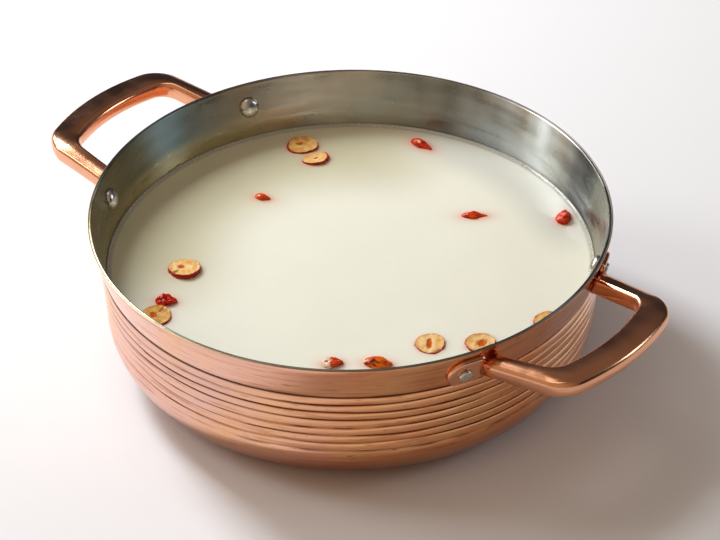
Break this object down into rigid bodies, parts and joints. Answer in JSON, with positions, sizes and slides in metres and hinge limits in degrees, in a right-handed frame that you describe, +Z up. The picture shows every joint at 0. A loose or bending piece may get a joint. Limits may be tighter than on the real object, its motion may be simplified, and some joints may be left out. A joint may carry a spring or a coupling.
{
  "type": "hot pot",
  "caption": "Round copper-faced steel pan with ribbed sides and riveted loop handles, filled with pale broth, red date slices and goji berries.",
  "frame": {"origin": "centre of the flat base, on the surface the pot stands on", "axes": "+Z up; +X out along one handle, -X along the other; +Y to complete a right-handed frame"},
  "size_m": [0.403, 0.2996, 0.095],
  "materials": {
    "copper_wall": "satin",
    "steel_lining": "satin",
    "handle_copper": "polished",
    "rivet_steel": "satin",
    "broth": "gloss",
    "date_flesh": "satin",
    "goji_skin": "gloss"
  },
  "bodies": {
    "root": {"pot_body": "copper_wall", "broth": "broth", "handle_right": "handle_copper", "handle_left": "handle_copper", "rivet_1": "rivet_steel", "rivet_2": "rivet_steel", "rivet_3": "rivet_steel", "rivet_4": "rivet_steel", "date_slice_1": "date_flesh", "date_slice_2": "date_flesh", "date_slice_3": "date_flesh", "date_slice_4": "date_flesh", "date_slice_5": "date_flesh", "date_slice_6": "date_flesh", "date_slice_7": "date_flesh", "goji_berry_1": "goji_skin", "goji_berry_2": "goji_skin", "goji_berry_3": "goji_skin", "goji_berry_4": "goji_skin", "goji_berry_5": "goji_skin", "goji_berry_6": "goji_skin", "goji_berry_7": "goji_skin"}
  },
  "joints": []
}
